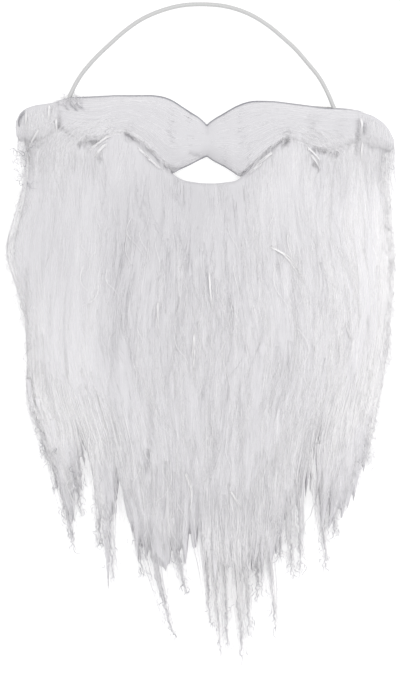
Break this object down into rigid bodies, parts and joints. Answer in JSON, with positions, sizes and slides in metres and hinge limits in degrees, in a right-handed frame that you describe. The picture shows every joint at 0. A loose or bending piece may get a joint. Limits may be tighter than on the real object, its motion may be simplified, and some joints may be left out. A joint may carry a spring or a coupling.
{
  "type": "costume beard",
  "caption": "White costume beard of long synthetic hair on a cloth backing, with a combed moustache over the mouth opening and a round elastic for the head.",
  "frame": {"origin": "on the back of the backing cloth, on the beard's middle line, halfway between the top of the moustache and the longest lock's tip, with the beard lying face up", "axes": "+Z out of the hair's face, away from the wearer; +Y from the tips of the hair to the top of the moustache; +X to the right of someone who looks at the hair"},
  "size_m": [0.2552, 0.4348, 0.0193],
  "materials": {
    "hair_fibre": "soft satin",
    "moustache_fibre": "soft satin",
    "backing_cloth": "matt",
    "elastic_cover": "matt"
  },
  "bodies": {
    "root": {"backing_cloth": "backing_cloth", "beard_hair": "hair_fibre", "moustache": "moustache_fibre", "side_tuft_left": "moustache_fibre", "side_tuft_right": "moustache_fibre", "elastic_tack_left": "backing_cloth", "elastic_tack_right": "backing_cloth", "elastic_cord": "elastic_cover"}
  },
  "joints": []
}
